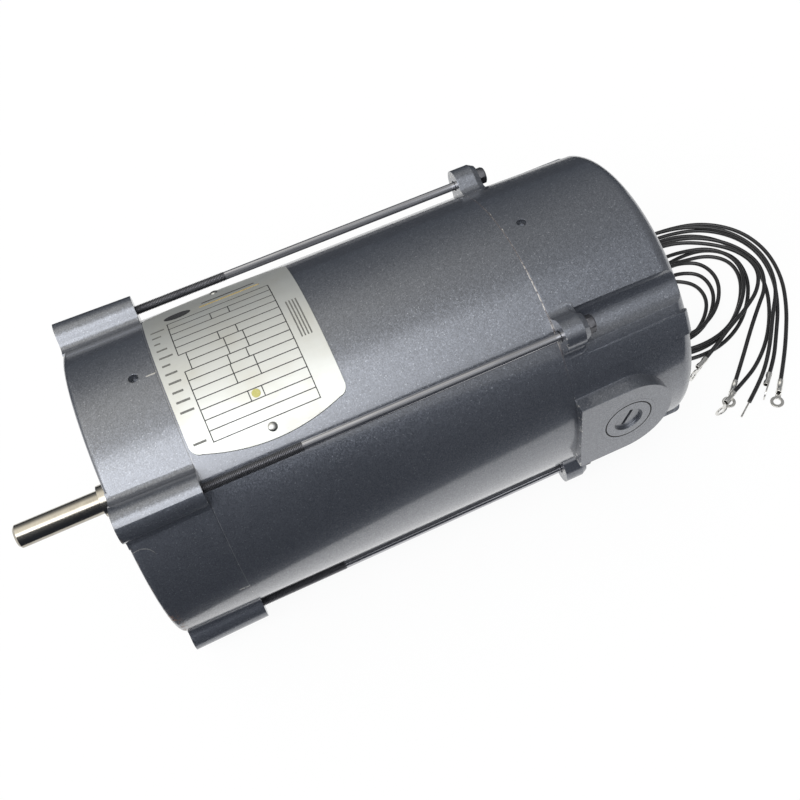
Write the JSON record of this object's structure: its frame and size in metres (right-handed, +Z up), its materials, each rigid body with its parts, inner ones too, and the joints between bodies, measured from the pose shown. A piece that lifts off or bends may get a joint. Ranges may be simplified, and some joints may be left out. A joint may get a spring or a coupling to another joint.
{
  "type": "dc motor",
  "caption": "Totally enclosed brushed DC motor: long round steel shell between a lugged drive bell and a brush cover, outside through bolts, plain steel shaft, loose ring-terminal leads.",
  "frame": {"origin": "centre of the drive face, on the shaft axis", "axes": "+X along the shaft out of the drive end, +Y to the side of the near brush, +Z up through the nameplate"},
  "size_m": [0.4903, 0.1707, 0.1562],
  "materials": {
    "enamelled_casting": "die casting under dark grey metallic enamel, semi-gloss",
    "enamelled_steel": "dark grey metallic enamel, semi-gloss",
    "plate_metal": "brushed, with black ruled lines",
    "rivet_metal": "satin",
    "bolt_steel": "plain drawn rod, dark threads and heads",
    "shaft_steel": "ground and polished",
    "bearing_steel": "ground and polished",
    "cage_steel": "pressed",
    "spring_steel": "blued",
    "lamination_steel": "stacked edges under varnish",
    "varnished_copper": "varnished enamelled wire",
    "taped_copper": "cotton tape under varnish",
    "bar_copper": "turned, with a brown running film",
    "moulded_phenolic": "moulded",
    "guide_brass": "drawn tube",
    "brush_carbon": "pressed carbon",
    "cap_plastic": "moulded, painted over with the cover",
    "grommet_rubber": "moulded",
    "lead_insulation": "extruded, satin",
    "tinned_copper": "tinned"
  },
  "bodies": {
    "motor_frame": {"drive_end_bell": "enamelled_casting", "yoke_shell": "enamelled_steel", "rear_cover": "enamelled_casting", "nameplate": "plate_metal", "nameplate_rivets": "rivet_metal", "through_bolts": "bolt_steel", "bolt_lockwashers": "bolt_steel", "front_bearing_outer_ring": "bearing_steel", "rear_bearing_outer_ring": "bearing_steel", "front_bearing_circlip": "spring_steel", "rear_wave_washer": "spring_steel", "field_core": "lamination_steel", "field_coil_top": "taped_copper", "field_coil_bottom": "taped_copper", "brush_sleeve_near": "moulded_phenolic", "brush_guide_near": "guide_brass", "brush_spring_near": "spring_steel", "brush_cap_near": "cap_plastic", "brush_sleeve_far": "moulded_phenolic", "brush_guide_far": "guide_brass", "brush_spring_far": "spring_steel", "brush_cap_far": "cap_plastic", "lead_grommet": "grommet_rubber", "lead_1": "lead_insulation", "lead_2": "lead_insulation", "lead_3": "lead_insulation", "lead_4": "lead_insulation", "lead_5": "lead_insulation", "lead_6": "lead_insulation", "lead_1_terminal": "tinned_copper", "lead_2_terminal": "tinned_copper", "lead_3_terminal": "tinned_copper", "lead_5_terminal": "tinned_copper", "lead_6_terminal": "tinned_copper", "lead_4_strands": "tinned_copper"},
    "rotor": {"shaft": "shaft_steel", "armature_core": "lamination_steel", "armature_winding": "varnished_copper", "commutator_bars": "bar_copper", "commutator_hub": "moulded_phenolic", "front_bearing_inner_ring": "bearing_steel", "rear_bearing_inner_ring": "bearing_steel"},
    "front_ball_set": {"front_bearing_balls": "bearing_steel", "front_bearing_cage": "cage_steel"},
    "rear_ball_set": {"rear_bearing_balls": "bearing_steel", "rear_bearing_cage": "cage_steel"},
    "brush_near": {"brush_near": "brush_carbon"},
    "brush_far": {"brush_far": "brush_carbon"}
  },
  "joints": [
    {"name": "rotor_spin", "type": "hinge", "parent": "motor_frame", "child": "rotor", "pos_m": [0, 0, 0], "axis": [1, 0, 0], "continuous": true},
    {"name": "front_balls_roll", "type": "hinge", "parent": "motor_frame", "child": "front_ball_set", "pos_m": [-0.018, 0, 0], "axis": [1, 0, 0], "continuous": true},
    {"name": "rear_balls_roll", "type": "hinge", "parent": "motor_frame", "child": "rear_ball_set", "pos_m": [-0.2738, 0, 0], "axis": [1, 0, 0], "continuous": true},
    {"name": "brush_near_slide", "type": "slide", "parent": "motor_frame", "child": "brush_near", "axis": [0, 1, 0], "range_m": [0, 0.012], "stiffness_N_per_m": 300, "springref_m": -0.008, "deforming": ["brush_spring_near"]},
    {"name": "brush_far_slide", "type": "slide", "parent": "motor_frame", "child": "brush_far", "axis": [0, -1, 0], "range_m": [0, 0.012], "stiffness_N_per_m": 300, "springref_m": -0.008, "deforming": ["brush_spring_far"]}
  ],
  "couplings": [
    {"joint": "front_balls_roll", "follows": "rotor_spin", "ratio": 0.3816},
    {"joint": "rear_balls_roll", "follows": "rotor_spin", "ratio": 0.3816}
  ]
}
